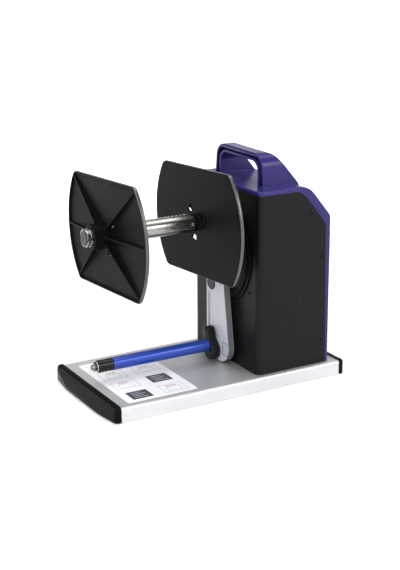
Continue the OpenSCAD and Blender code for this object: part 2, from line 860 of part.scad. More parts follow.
tip_groove_in = 3.5;
tip_groove_w = 2;
tip_groove_d = 1.2;
collar_l = 8;
collar_in = 0.5;
seat_step = 2;
seat_d = mandrel_d - 2 * seat_step;
shoulder_x = inner_x - collar_l;
slot_end = 3;
module mandrel_slots() {
    for (a = [0 : 90 : 270]) rotate([a, 0, 0])
        translate([tip_x - over, -slot_w / 2, mandrel_d / 2 - slot_d])
            cube([shoulder_x - slot_end - tip_x + over, slot_w, slot_d + over]);
}
module mandrel() {
    groove_x = tip_x + tip_groove_in;
    color("gainsboro") at_reel() difference() {
        union() {
            bar(tip_x, shoulder_x, mandrel_d);
            bar(tip_x + slot_end, hub_end_x, seat_d);
        }
        bar(tip_x - over, hub_end_x + over, shaft_d);
        mandrel_slots();
        ring(groove_x, groove_x + tip_groove_w, mandrel_d + over, mandrel_d - 2 * tip_groove_d);
    }
}
plug_face_t = 1.2;
plug_l = 12;
module end_plug() {
    color([0.3, 0.3, 0.32]) at_reel() {
        bar(tip_x - plug_face_t, tip_x, mandrel_d - 2 * slot_d);
        bar(tip_x - eps, tip_x + plug_l, shaft_d);
    }
}
// Notched rack in the mandrel's upper slot, for the sliding flange's detent
rack_proud = 0.6;
rack_in = 14;
rack_start = tip_x + rack_in;
rack_end = shoulder_x - slot_end - lay_gap;
notch_half = 1;
notch_lean = 0.6;
rack_top = mandrel_d / 2 + rack_proud;
module rack_side() {
    low = mandrel_d / 2 - slot_d;
    n = floor((rack_end - rack_start) / notch_pitch) - 1;
    wide = notch_half + notch_lean;
    bottom = rack_top - notch_d;
    polygon(concat([[rack_start, low], [rack_start, rack_top]],
        [for (i = [1 : n]) let (x = rack_start + i * notch_pitch)
            each [[x - wide, rack_top], [x - notch_half, bottom], [x + notch_half, bottom],
                [x + wide, rack_top]]],
        [[rack_end, rack_top], [rack_end, low]]));
}
module width_rack() {
    color("whitesmoke") at_reel() side_view(slot_w - lay_gap) rack_side();
}
shaft_in = 80;
shaft_end = 6;
shaft_clip_x = [frame_x0 - clip_t - lay_gap, frame_x1 + lay_gap];
module drive_shaft() {
    color("lightgray") at_axis() difference() {
        bar(tip_x + shaft_in, frame_x1 + shaft_end, shaft_d);
        for (x = shaft_clip_x) ring(x, x + clip_t, shaft_d + over, shaft_d - 2 * clip_groove);
    }
}
// Open spring clip in a shaft's groove
module spring_clip(x, d) {
    difference() {
        ring(x, x + clip_t, d + 2 * clip_wall, d - 2 * clip_groove);
        translate([x - over, -clip_mouth / 2, -d]) cube([clip_t + 2 * over, clip_mouth, d]);
    }
}
module shaft_clips() {
    color("dimgray") at_axis() for (x = shaft_clip_x) spring_clip(x, shaft_d);
}

// Gears with involute flanks
tooth_root = 1.25;
tooth_tip = 0.95;
function inv(a) = tan(a) * 180 / PI - a;
function flank(r, rb) = inv(acos(min(1, rb / r)));
function polar(r, a) = r * [cos(a), sin(a)];
function tooth(teeth, i) =
    let (rp = gear_module * teeth / 2, rb = rp * cos(pressure))
    let (rf = rp - tooth_root * gear_module, ra = rp + tooth_tip * gear_module)
    let (half = 90 / teeth - gear_play / rp * 90 / PI, low = max(rf, rb), c = 360 * i / teeth)
    let (rs = [for (k = [0 : 4]) low + (ra - low) * k / 4])
    let (w = [for (r = rs) half + inv(pressure) - flank(r, rb)])
    concat([polar(rf, c - w[0])], [for (k = [0 : 4]) polar(rs[k], c - w[k])],
        [for (k = [4 : -1 : 0]) polar(rs[k], c + w[k])], [polar(rf, c + w[0])]);
module gear_outline(teeth) {
    polygon([for (i = [0 : teeth - 1]) each tooth(teeth, i)]);
}
gear_hub = 5;
gear_hub_l = 6;
gear_dish = 2;
gear_rim = 5;
gear_hole_at = 0.62;
gear_hole = 0.26;
module drive_gear() {
    end = gear_x + gear_t;
    color("ivory") at_axis() difference() {
        union() {
            front_view(gear_x, gear_t) rotate(motor_angle + 180 / gear_teeth) gear_outline(gear_teeth);
            bar(gear_x, end + gear_hub_l, shaft_d + 2 * gear_hub);
        }
        bar(gear_x - over, end + gear_hub_l + over, shaft_d);
        ring(gear_x - over, gear_x + gear_dish, 2 * (gear_r - gear_rim), shaft_d + 2 * gear_hub);
        for (a = [0 : 60 : 300]) rotate([a, 0, 0]) translate([0, gear_r * gear_hole_at, 0])
            bar(gear_x - over, end + over, gear_r * gear_hole);
    }
}
pinion_over = 0.5;
module motor_pinion() {
    color("khaki") at_motor() {
        front_view(gear_x - pinion_over, gear_t + 2 * pinion_over)
            rotate(motor_angle + 180) gear_outline(pinion_teeth);
        bar(gear_x, motor_x + motor_bore_l - over, motor_shaft_d);
    }
}

// Flange: flat face on x = 0, with the rim, the ribs and the hub on the +X side
flange_corner_z = flange_half - flange_corner;
flange_corner_y = sqrt(pow(flange_r - flange_corner, 2) - pow(flange_corner_z, 2));
rib_angle = atan2(flange_corner_z, flange_corner_y);
function flange_side(inset, turn) =
    let (a = rib_angle, c = flange_corner - inset, r = flange_r - inset, s = turn == 0 ? 1 : -1)
    let (corner_at = s * [flange_corner_y, flange_corner_z], mirror_at = [corner_at.x, -corner_at.y])
    let (round = arc([0, 0], r, turn - a, turn + a, 24))
    concat(arc(mirror_at, c, turn - 90, turn - a, 6), [for (i = [1 : 23]) round[i]],
        arc(corner_at, c, turn + a, turn + 90, 6));
module flange_outline(inset) {
    polygon(concat(flange_side(inset, 0), flange_side(inset, 180)));
}
vent_angle = 48;
vent_in = 1.5;
vent_l = 8.5;
vent_narrow = 4.5;
vent_wide = 6.5;
module flange_vents() {
    start = hub_d / 2 + vent_in;
    end = start + vent_l;
    for (a = [0, 120, 240]) rotate(vent_angle + a)
        polygon([[start, -vent_narrow], [end, -vent_wide], [end, vent_wide], [start, vent_narrow]]);
}
rib_low = 0.5;
rib_root = 2;
module flange_rib(a, l) {
    foot = mandrel_d / 2 + rib_root;
    rotate([a - 90, 0, 0]) rotate([90, 0, 0]) translate([0, 0, -rib_t / 2]) linear_extrude(rib_t)
        polygon([[0, foot], [rib_h, foot], [rib_h, hub_d / 2], [flange_rim - rib_low, l], [0, l]]);
}
module flange_body() {
    difference() {
        union() {
            front_view(0, flange_web) flange_outline(0);
            front_view(0, flange_rim) difference() {
                flange_outline(0);
                flange_outline(flange_rim_w);
            }
            bar(0, hub_l, hub_d);
            for (a = [rib_angle, 180 - rib_angle, 180 + rib_angle, -rib_angle, 0, 180])
                flange_rib(a, flange_r - flange_rim_w / 2);
        }
        front_view(-over, flange_web + 2 * over) flange_vents();
    }
}
// The fixed flange has a collar that the mandrel's shoulder rests on
module inner_flange() {
    color([0.15, 0.16, 0.16]) at_reel() translate([inner_x, 0, 0]) difference() {
        union() {
            flange_body();
            bar(-collar_l, eps, mandrel_d - 2 * collar_in);
        }
        bar(-collar_l - over, hub_l + over, seat_d);
    }
}
// The sliding flange has two keys that run in the mandrel's side slots
key_w = slot_w - 2 * lay_gap;
key_gap = 0.5;
module slide_keys() {
    for (a = [90, 270]) rotate([a, 0, 0])
        translate([0, -key_w / 2, mandrel_d / 2 - slot_d + key_gap]) cube([hub_l, key_w, slot_d]);
}
spring_x = 4;
spring_l = 12;
spring_w = 6;
spring_rise = 1.9;
spring_t = 0.6;
spring_nose = 1.5;
spring_top = rack_top + spring_rise;
way_gap = 0.4;
module at_outer_flange() {
    at_reel() translate([outer_x, 0, 0]) rotate([0, 0, 180]) children();
}
module outer_flange() {
    color([0.15, 0.16, 0.16]) at_outer_flange() difference() {
        flange_body();
        difference() {
            bar(-over, hub_l + over, mandrel_d + 2 * slide_fit);
            slide_keys();
        }
        translate([spring_x, -spring_w / 2, 0]) cube([spring_l, spring_w, spring_top]);
        translate([-over, -slot_w / 2 - lay_gap, 0])
            cube([hub_l + 2 * over, slot_w + 2 * lay_gap, rack_top + way_gap]);
    }
}
// Leaf spring in the sliding flange's hub, with a nose over the rack
module detent_spring() {
    x = spring_x;
    end = x + spring_l;
    top = spring_top;
    leaf = top - spring_t;
    color("lightgray") at_outer_flange() side_view(spring_w - over)
        polygon([[x, top], [x, leaf], [x + spring_l / 3, leaf], [x + spring_l / 2, top - spring_nose],
            [end - spring_l / 3, leaf], [end, leaf], [end, top]]);
}

// Dancer arm: a flat link on the pivot axle, with the roller's spindle at its lower end

plug_y = 13;
plug_drop = 43;
plug_d = 21;
plug_sunk = 4;
plug_proud = 1.2;
plug_edge = 0.8;
panel_d = 1.2;
panel_points = [[21, -58], [4, -58], [4, -97], [-14, -117], [21, -117]];
panel_radii = [3, 3, 8, 3, 3];
insert_y = -24;
insert_drop = 2.5;
insert_w = 12;
insert_h = 17;
insert_t = 2;
spindle_head = 3;
spindle_head_t = 4;
link_slack = 0.05;
link_top = [arm_top_off, 0];
link_far = [arm_low_w / 2 - arm_r_low - arm_low_off, -arm_l];
link_near = [arm_r_low - arm_low_w / 2 - arm_low_off, -arm_l];
// Direction of the outer tangent's touching points on the upper and a lower disc
function link_side(low, side) =
    let (run = low - link_top)
    let (a = atan2(run.y, run.x) + side * acos((arm_r_top - arm_r_low) / norm(run)))
    [cos(a), sin(a)];
// Link of an upper and two lower discs, joined along their outer tangents
module link_body() {
    r_top = arm_r_top - link_slack;
    r_low = arm_r_low - link_slack;
    far = link_side(link_far, 1);
    near = link_side(link_near, -1);
    at_front(link_top) bar(arm_x0, arm_x1, 2 * arm_r_top);
    for (p = [link_far, link_near]) at_front(p) bar(arm_x0, arm_x1, 2 * arm_r_low);
    front_view(arm_x0, arm_t) polygon([link_top + r_top * far, link_far + r_low * far,
        link_far - [0, r_low], link_near - [0, r_low], link_near + r_low * near,
        link_top + r_top * near]);
}
module dancer_arm() {
    color([0.82, 0.82, 0.85]) at_pivot() difference() {
        union() link_body();
        bar(arm_x0 - over, arm_x1 + over, axle_d);
        translate([0, 0, -arm_l]) bar(arm_x0 - over, arm_x1 + over, spindle_d);
        translate([0, 0, -arm_l]) bar(arm_x1 - spindle_head_t, arm_x1 + over, spindle_d + 2 * spindle_head);
        translate([0, plug_y, -plug_drop]) bar(arm_x0 - over, arm_x0 + plug_sunk, plug_d);
        translate([arm_x0 - over, insert_y - insert_w / 2, -arm_l - insert_drop - insert_h / 2])
            cube([insert_t + over, insert_w, insert_h]);
        front_view(arm_x0 - over, panel_d + over) polygon(rounded(panel_points, panel_radii));
    }
}
module arm_plug() {
    color([0.12, 0.12, 0.12]) at_pivot() translate([0, plug_y, -plug_drop]) {
        bar(arm_x0, arm_x0 + plug_sunk, plug_d);
        bar(arm_x0 - plug_proud, arm_x0 + eps, plug_d - 2 * plug_edge);
    }
}
module arm_insert() {
    low = roller_z - insert_drop - insert_h / 2;
    color([0.75, 0.8, 0.88]) translate([arm_x0, insert_y - insert_w / 2, low])
        cube([insert_t, insert_w, insert_h]);
}
axle_end = 5;
axle_head = 3;
axle_clip_x = frame_x1 + bush_rim + lay_gap;
module pivot_axle() {
    color("lightgray") at_pivot() difference() {
        union() {
            bar(arm_x0, frame_x1 + axle_end, axle_d);
            bar(arm_x0 - axle_head, arm_x0 + eps, axle_d + 2 * axle_head);
        }
        ring(axle_clip_x, axle_clip_x + clip_t, axle_d + over, axle_d - 2 * clip_groove);
    }
}
module axle_clip() {
    color("dimgray") at_pivot() spring_clip(axle_clip_x, axle_d);
}

// Guide roller: a blue tube with two bushes that turn on the fixed spindle
point_l = 2;
washer_gap = 0.4;
washer_t = 1.2;
washer_in = 1.5;
washer_x = bush_x0 - washer_gap - washer_t;
clip_x = washer_x - washer_gap - clip_t;
module roller_spindle() {
    point_x = bush_x0 - spindle_tip;
    color("lightgray") at_roller() difference() {
        union() {
            bar(point_x + point_l, arm_x1, spindle_d);
            translate([point_x, 0, 0]) rotate([0, 90, 0])
                cylinder(d1 = spindle_d / 2, d2 = spindle_d, h = point_l + eps);
            bar(arm_x1 - spindle_head_t, arm_x1, spindle_d + 2 * spindle_head);
        }
        ring(clip_x, clip_x + clip_t, spindle_d + over, spindle_d - 2 * clip_groove);
    }
}
module tip_washer() {
    color("silver") at_roller() ring(washer_x, washer_x + washer_t, roller_d - 2 * washer_in, spindle_d);
}
// Toothed spring clip in the spindle's groove
clip_tooth = 3;
module tip_clip() {
    hole = spindle_d - 2 * clip_groove;
    color([0.35, 0.3, 0.27]) at_roller() difference() {
        union() {
            bar(clip_x, clip_x + clip_t, spindle_d + clip_tooth);
            for (a = [90, 210, 330]) rotate([a, 0, 0])
                translate([clip_x, -clip_tooth / 2, 0])
                    cube([clip_t, clip_tooth, spindle_d / 2 + clip_tooth]);
        }
        bar(clip_x - over, clip_x + clip_t + over, hole);
        translate([clip_x - over, -clip_mouth / 2, -2 * spindle_d])
            cube([clip_t + 2 * over, clip_mouth, 2 * spindle_d]);
    }
}
// Clamp knob between the arm and the roller: a round end and a leaning lever end
knob_foot = [0, -knob_drop];
knob_tip = [knob_lean, knob_rise];
function inner_points(pts) = [for (i = [1 : len(pts) - 2]) pts[i]];
// The far flank is straight, the near one a hollow arc that touches both ends
function knob_outline() =
    let (run = knob_tip - knob_foot, lie = atan2(run.y, run.x))
    let (far = lie - acos((knob_r_low - knob_r_top) / norm(run)))
    let (low = knob_r_low + knob_hollow, top = knob_r_top + knob_hollow)
    let (near = lie + acos((low * low + run * run - top * top) / (2 * low * norm(run))))
    let (centre = knob_foot + low * [cos(near), sin(near)], out = centre - knob_tip)
    let (end = atan2(out.y, out.x))
    concat(arc(knob_foot, knob_r_low, far, near - 360, 30),
        inner_points(arc(centre, knob_hollow, near - 180, end - 180, 10)),
        arc(knob_tip, knob_r_top, end, far, 20));
module clamp_knob() {
    color([0.14, 0.14, 0.14]) at_roller() difference() {
        front_view(knob_x0, knob_t) polygon(knob_outline());
        bar(knob_x0 - over, knob_x1 + over, spindle_d + 2 * run_fit);
    }
}
module roller_tube() {
    color([0.23, 0.35, 0.7]) at_roller() ring(tube_x0, tube_x1, roller_d, roller_bore);
}
bush_in = 15;
bush_lip = 0.6;
bush_step = 1;
module roller_end_bush() {
    color([0.1, 0.1, 0.1]) at_roller() difference() {
        union() {
            bar(bush_x0, tube_x0 + bush_in, roller_bore);
            bar(bush_x0, tube_x0, roller_d - bush_lip);
        }
        bar(bush_x0 - over, tube_x0 + bush_in + over, spindle_d + 2 * run_fit);
    }
}
module roller_inner_bush() {
    color([0.1, 0.1, 0.1]) at_roller() difference() {
        union() {
            bar(tube_x1 - bush_in, tube_x1 + bush_lip, roller_bore);
            bar(tube_x1, tube_x1 + bush_lip, roller_d - 2 * bush_step);
        }
        bar(tube_x1 - bush_in - over, tube_x1 + bush_lip + over, spindle_d + 2 * run_fit);
    }
}

base_plate();
left_end_cap();
right_end_cap();
rubber_feet();
front_cover();
rear_cover();
front_bezel();
bezel_screws();
cover_screws();
bearing_frame();
frame_bolts();
front_bearing();
rear_bearing();
pivot_bushes();
gear_motor();
motor_screws();
arm_sensor();
control_board();
board_posts();
dc_inlet();
switch_body();
switch_rocker();
mandrel();
end_plug();
width_rack();
drive_shaft();
drive_gear();
shaft_clips();
inner_flange();
outer_flange();
detent_spring();
motor_pinion();
dancer_arm();
arm_plug();
arm_insert();
pivot_axle();
axle_clip();
roller_spindle();
tip_washer();
tip_clip();
clamp_knob();
roller_tube();
roller_end_bush();
roller_inner_bush();
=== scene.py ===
import math

import bmesh
import bpy
from mathutils import Matrix, Vector


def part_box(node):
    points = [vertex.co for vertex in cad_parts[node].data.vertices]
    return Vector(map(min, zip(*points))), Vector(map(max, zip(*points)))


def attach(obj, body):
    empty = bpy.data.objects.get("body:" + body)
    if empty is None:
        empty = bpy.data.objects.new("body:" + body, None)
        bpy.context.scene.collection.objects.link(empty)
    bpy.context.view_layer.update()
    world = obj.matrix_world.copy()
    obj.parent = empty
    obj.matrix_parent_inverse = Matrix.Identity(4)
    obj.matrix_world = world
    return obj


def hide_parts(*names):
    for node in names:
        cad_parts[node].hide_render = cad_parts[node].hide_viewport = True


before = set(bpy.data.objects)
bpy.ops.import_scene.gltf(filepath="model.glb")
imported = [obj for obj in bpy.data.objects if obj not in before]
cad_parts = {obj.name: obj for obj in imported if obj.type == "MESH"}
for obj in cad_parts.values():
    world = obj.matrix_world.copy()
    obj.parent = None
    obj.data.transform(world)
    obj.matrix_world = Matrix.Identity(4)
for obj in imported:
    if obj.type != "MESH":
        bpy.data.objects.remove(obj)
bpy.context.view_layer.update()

# Studio: a pale floor, a white sweep behind the object and a white round wall far off, soft
# lights, and the camera at the photograph's viewing angle. Nothing of it is the rewinder's.
scene = bpy.context.scene
scene.view_settings.view_transform = "Standard"

turn, lift, roll = (math.radians(angle) for angle in (-29.9, 17.0, -0.3))
camera_place = Vector((-0.8127, -1.4208, 0.637))
back = Vector((math.sin(turn) * math.cos(lift), -math.cos(turn) * math.cos(lift), math.sin(lift)))
level = Vector((math.cos(turn), math.sin(turn), 0))
upright = back.cross(level)
right = math.cos(roll) * level + math.sin(roll) * upright
up = math.cos(roll) * upright - math.sin(roll) * level
lens = bpy.data.cameras.new("photo_camera")
lens.sensor_width = 36
lens.lens = 78.84
lens.shift_x = -0.0053
lens.shift_y = -0.0028
camera = bpy.data.objects.new("photo_camera", lens)
camera_axes = Matrix((right, up, back)).transposed().to_4x4()
camera.matrix_world = Matrix.Translation(camera_place) @ camera_axes
scene.collection.objects.link(camera)
scene.camera = camera

surround = bpy.data.worlds.new("white_surround")
surround.use_nodes = True
sky = surround.node_tree.nodes["Background"].inputs
sky["Color"].default_value = (1, 1, 1, 1)
sky["Strength"].default_value = 0.32
scene.world = surround

lit_point = Vector((0, 0, 0.15))
for name, place, size, watts in (
        ("left_softbox", (-1.7, -1.1, 1.5), 1.6, 34),
        ("top_softbox", (0.1, 0.1, 1.7), 1.5, 25),
        ("right_softbox", (1.1, -1.9, 1.25), 0.9, 22)):
    softbox = bpy.data.lights.new(name, "AREA")
    softbox.size = size
    softbox.energy = watts
    lamp = bpy.data.objects.new(name, softbox)
    lamp.location = place
    lamp.rotation_euler = (lit_point - Vector(place)).to_track_quat("-Z", "Y").to_euler()
    scene.collection.objects.link(lamp)


def stage_sheet(name, points, faces, glow):
    """A white paper sheet of the studio that glows by itself."""
    sheet = bpy.data.meshes.new(name)
    sheet.from_pydata(points, [], faces)
    paper = bpy.data.materials.new(name)
    paper.use_nodes = True
    coat = paper.node_tree.nodes["Principled BSDF"].inputs
    coat["Base Color"].default_value = (0.9, 0.9, 0.9, 1)
    coat["Roughness"].default_value = 0.9
    coat["Emission Color"].default_value = (1, 1, 1, 1)
    coat["Emission Strength"].default_value = glow
    sheet.materials.append(paper)
    floor = bpy.data.objects.new(name, sheet)
    scene.collection.objects.link(floor)


def arc_points(radius, steps, start=0.0, stop=2 * math.pi):
    """Points on an arc around the origin, in equal steps, with both its ends."""
    angles = [start + (stop - start) * i / steps for i in range(steps + 1)]
    return [(radius * math.cos(a), radius * math.sin(a)) for a in angles]


def belt(lower, upper):
    """The four-cornered faces between two closed rings of equally many points."""
    next_lower = lower[1:] + lower[:1]
    next_upper = upper[1:] + upper[:1]
    return [(a, b, d, c) for a, b, c, d in zip(lower, next_lower, upper, next_upper)]


away = -Vector((back.x, back.y, 0)).normalized()
half_width = level * 9
for name, near, far, rise, glow in (("studio_floor", -4, 4, 0, 0.15),
                                    ("studio_sweep", 0.8, 14, 0.001, 1)):
    rim = [away * near - half_width, away * near + half_width,
           away * far + half_width, away * far - half_width]
    stage_sheet(name, [(v.x, v.y, rise) for v in rim], [(0, 1, 2, 3)], glow)

wall_steps = 48
wall_profile = ((1.1, 0.0005), (14, 0.0005), (14, 3.0))
wall_glow = 0.72
circle = arc_points(1, wall_steps)[:wall_steps]
rings = [list(range(wall_steps * k, wall_steps * (k + 1))) for k in range(len(wall_profile))]
stage_sheet("studio_round", [(x * r, y * r, z) for r, z in wall_profile for x, y in circle],
            [face for pair in zip(rings, rings[1:]) for face in belt(*pair)], wall_glow)

# Base: a hollow aluminium extrusion, sawn to length and satin anodised. Its long upper
# edges are rounded by the die, and fine drawing lines run along it.


class Wire:
    """A node's output socket; sums and products on it add Math nodes to its tree."""

    def __init__(self, socket):
        self.socket = socket

    def make(self, kind, settings, sockets, out=None):
        """A new node in the same tree: settings first, then values or links by name or place."""
        tree = self.socket.id_data
        node = tree.nodes.new(kind)
        for name, value in settings.items():
            setattr(node, name, value)
        shown = [s for s in node.inputs if s.enabled]
        for name, value in sockets.items():
            target = shown[name] if isinstance(name, int) else next(s for s in shown if s.name == name)
            for each in value if isinstance(value, list) else [value]:
                if isinstance(each, Wire):
                    tree.links.new(each.socket, target)
                else:
                    target.default_value = each
        results = [s for s in node.outputs if s.enabled and out in (None, s.name)]
        return Wire(results[0]) if results else None

    def maths(self, operation, first, second):
        """A Math node on two wires or numbers."""
        return self.make("ShaderNodeMath", {"operation": operation}, {0: first, 1: second})

    def __add__(self, other):
        return self.maths("ADD", self, other)

    __radd__ = __add__

    def __sub__(self, other):
        return self.maths("SUBTRACT", self, other)

    def __rsub__(self, other):
        return self.maths("SUBTRACT", other, self)

    def __mul__(self, other):
        return self.maths("MULTIPLY", self, other)

    __rmul__ = __mul__

    def __truediv__(self, other):
        return self.maths("DIVIDE", self, other)

    def __rtruediv__(self, other):
        return self.maths("DIVIDE", other, self)


def srgb(*levels):
    """Linear colour, with full alpha, of a screen colour whose levels go from 0 to 255."""
    shares = [value / 255 for value in levels]
    return tuple(s / 12.92 if s < 0.04045 else ((s + 0.055) / 1.055) ** 2.4 for s in shares) + (1,)


def new_finish(name):
    """An empty material, and the object coordinates that its patterns read."""
    finish = bpy.data.materials.new(name)
    finish.use_nodes = True
    finish.node_tree.nodes.clear()
    return finish, Wire(finish.node_tree.nodes.new("ShaderNodeTexCoord").outputs["Object"])


def close_finish(at, settings):
    """The shader that ends a material, with its plain values and its links."""
    shader = at.make("ShaderNodeBsdfPrincipled", {}, settings)
    at.make("ShaderNodeOutputMaterial", {}, {"Surface": shader})


def noise(at, size, detail=2.0, stretch=(1, 1, 1)):
    """Noise whose blotches are about size metres across, drawn out along an axis if asked."""
    place = at.make("ShaderNodeMapping", {}, {"Vector": at, "Scale": stretch})
    return place.make("ShaderNodeTexNoise", {}, {"Vector": place, "Scale": 1 / size, "Detail": detail})


def tint(at, low, high, share):
    """Colour between low and high by a share from 0 to 1."""
    return at.make("ShaderNodeMix", {"data_type": "RGBA"}, {"Factor": share, "A": low, "B": high})


def relief_of(at, pattern, strength, depth):
    """Normal of a surface that a pattern raises by up to depth metres."""
    return at.make("ShaderNodeBump", {}, {"Strength": strength, "Distance": depth, "Height": pattern})


def edge_mask(at, reach):
    """Mask of the edges: where the normal, rounded over reach metres, leaves the true one."""
    soft = at.make("ShaderNodeBevel", {"samples": 6}, {"Radius": reach})
    flat = at.make("ShaderNodeNewGeometry", {}, {}, "Normal")
    same = at.make("ShaderNodeVectorMath", {"operation": "DOT_PRODUCT"}, {0: soft, 1: flat}, "Value")
    return at.make("ShaderNodeMapRange", {}, {"Value": same, "From Min": 0.99, "From Max": 0.8})


def drawn_metal(name, colour, dark, rough, stretch, metal=1.0, lines=0.25, edge=0.0008, pitch=0.0011):
    """Metal with drawing or turning lines along one axis, blotched roughness and bright edges."""
    finish, at = new_finish(name)
    bare_metal = (0.93, 0.93, 0.94, 1)
    line_depth = 0.00003
    line = noise(at, size=pitch, detail=3.0, stretch=stretch)
    cloud = noise(at, size=0.05, detail=3.0)
    pale_share = edge_mask(at, edge)
    shade = tint(at, dark, colour, line * 0.6 + cloud * 0.4)
    close_finish(at, {
        "Base Color": tint(at, shade, bare_metal, pale_share * 0.6),
        "Roughness": rough + (cloud - 0.5) * 0.16 + (line - 0.5) * 0.14 - pale_share * 0.08,
        "Metallic": metal, "Normal": relief_of(at, line, lines, line_depth)})
    return finish


same_place = 0.000004
flat_angle = math.radians(0.4)
sharp_angle = math.radians(28)


def softened(node, name, finish, width, body="root", segments=3, weight=None, clamp=True, prepare=None):
    """A piece with a node's own shape, whose edges are rounded by the width times their weight."""
    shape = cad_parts[node].data.copy()
    shape.name = name
    work = bmesh.new()
    work.from_mesh(shape)
    bmesh.ops.remove_doubles(work, verts=work.verts, dist=same_place)
    bmesh.ops.dissolve_limit(work, angle_limit=flat_angle, verts=work.verts, edges=work.edges)
    if prepare:
        prepare(work)
    share = work.edges.layers.float.new("bevel_weight_edge")
    for face in work.faces:
        face.smooth = True
    for edge in work.edges:
        if len(edge.link_faces) == 2 and edge.calc_face_angle(0) > sharp_angle:
            edge[share] = weight(edge) if weight else 1.0
            edge.smooth = edge[share] > 0
    work.to_mesh(shape)
    work.free()
    shape.materials.clear()
    shape.materials.append(finish)
    piece = bpy.data.objects.new(name, shape)
    scene.collection.objects.link(piece)
    rounding = piece.modifiers.new("rounded_edges", "BEVEL")
    rounding.limit_method = "WEIGHT"
    rounding.width = width
    rounding.segments = segments
    rounding.use_clamp_overlap = clamp
    shading = piece.modifiers.new("flat_walls", "WEIGHTED_NORMAL")
    shading.mode = "FACE_AREA"
    shading.weight = 50
    shading.keep_sharp = True
    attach(piece, body)
    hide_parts(node)
    return piece


anodised = drawn_metal("satin_anodised_base", srgb(217, 218, 220), srgb(196, 197, 200), rough=0.46,
                       stretch=(0.004, 1, 1), metal=0.75, lines=0.35, edge=0.0012)
softened("base_plate", "base_extrusion", anodised, width=0.0005)

# End caps: black moulded caps pushed into the hollow ends of the extrusion. Their level
# strip, slanted face and low lip run into each other with soft edges.


def shaded(colour, factor):
    """A colour made darker or paler by a factor."""
    return tuple(min(1, c * factor) for c in colour[:3]) + (1,)


def moulded(name, colour, pale, rough, grain=0.00035, relief=0.25, pale_share=0.35, edge=0.0012, coat=0.0,
            gloss=0.3):
    """Injection-moulded plastic: spark-eroded grain, slow flow marks, and paler edges of wear and of
    painted highlight.
    """
    finish, at = new_finish(name)
    grain_depth = 0.00006
    fine = noise(at, size=grain)
    flow = noise(at, size=0.045, detail=3.0)
    # Paler edges: rubbed wear on most mouldings, painted highlights on the flanges and the bezel.
    wear_and_glint = edge_mask(at, edge) * (0.55 + flow * 0.9)
    body = tint(at, shaded(colour, 0.93), shaded(colour, 1.07), flow * 0.7 + fine * 0.3)
    close_finish(at, {
        "Base Color": tint(at, body, pale, wear_and_glint * pale_share),
        "Roughness": rough + (flow - 0.5) * 0.14 + (fine - 0.5) * (relief / 2) - wear_and_glint * 0.08,
        "Specular IOR Level": gloss, "Coat Weight": coat, "Coat Roughness": 0.2,
        "Normal": relief_of(at, fine, relief, grain_depth)})
    return finish


def edge_middle(edge):
    """The middle point of an edge."""
    return (edge.verts[0].co + edge.verts[1].co) / 2


cap_black = moulded("cap_black", srgb(10, 10, 11), srgb(66, 66, 68), rough=0.24, grain=0.002, relief=0.03,
                    gloss=0.06)
base_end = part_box("base_plate")[1].x
seat_gap = 0.0002
corner_start = 0.001
corner_edge = 0.0007
corner_angle = math.radians(4)


def cap_edges(edge):
    """All edges of a cap that show are rounded; the pegs inside the extrusion stay sharp."""
    return float(abs(edge_middle(edge).x) > base_end + seat_gap)


def join_corners(work):
    """Joins the tiny edges where a cap's three roundings meet, so that they round cleanly."""
    bmesh.ops.dissolve_limit(work, angle_limit=corner_angle, verts=work.verts, edges=work.edges)
    outside = [v for v in work.verts if abs(v.co.x) > base_end + corner_start]
    bmesh.ops.remove_doubles(work, verts=outside, dist=corner_edge)


for node, name in (("left_end_cap", "left_cap"), ("right_end_cap", "right_cap")):
    softened(node, name, cap_black, width=0.0016, segments=4, weight=cap_edges, clamp=False,
             prepare=join_corners)

# Feet: four rubber discs that keep the rewinder from sliding on a table. They are pressed
# into round recesses under the base.
foot_rubber = moulded("foot_rubber", srgb(28, 28, 28), srgb(70, 70, 70), rough=0.8, relief=0.4)
softened("rubber_feet", "round_feet", foot_rubber, width=0.0004)

# Guide sheet: a laminated paper sheet stuck on the base in front of the housing. Its
# print is a plain pattern of boxes, chevrons, dark fields and lines.
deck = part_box("base_plate")[1].z
(sheet_left, sheet_near), (sheet_right, sheet_far) = (-0.154, -0.082), (-0.051, 0.074)
sheet_corner = 0.003
corner_steps = 6
paper_top = deck + 0.0002
ink_top = paper_top + 0.00004
second_ink_top = ink_top + 0.00003
ink_depth = 0.0001
grey_ink, red_ink, black_ink, pale_ink = 1, 2, 3, 4
picture_columns, picture_rows = (-0.128, -0.078), (-0.062, -0.022, 0.018)
line_start, line_stop, line_step = -0.147, -0.074, 0.012
first_line, line_pitch, line_width = 0.042, 0.007, 0.0009


def printed_bar(work, a, b, width, z, ink):
    """A straight printed bar from a to b, in one of the sheet's inks."""
    a, b = Vector(a), Vector(b)
    along = b - a
    side = Vector((-along.y, along.x)).normalized() * width / 2
    face = work.faces.new([work.verts.new((*p, z)) for p in (a - side, b - side, b + side, a + side)])
    face.material_index = ink


def printed_box(work, x, y, width, depth, line=0.0005):
    """The grey outline of a box around a middle point."""
    corners = [(x + width / 2 * i, y + depth / 2 * j) for i, j in ((-1, -1), (1, -1), (1, 1), (-1, 1))]
    for a, b in zip(corners, corners[1:] + corners[:1]):
        printed_bar(work, a, b, line, ink_top, grey_ink)


def dark_field(work, x, y, width=0.03, depth=0.026, line=0.0013, pitch=0.005):
    """A dark field with four pale lines, every second one shorter."""
    printed_bar(work, (x - width / 2, y), (x + width / 2, y), depth, ink_top, black_ink)
    for step in range(4):
        line_y = y + pitch * (step - 1.5)
        start, stop = x - 2 * pitch, x + 2 * pitch - pitch * (step % 2)
        printed_bar(work, (start, line_y), (stop, line_y), line, second_ink_top, pale_ink)


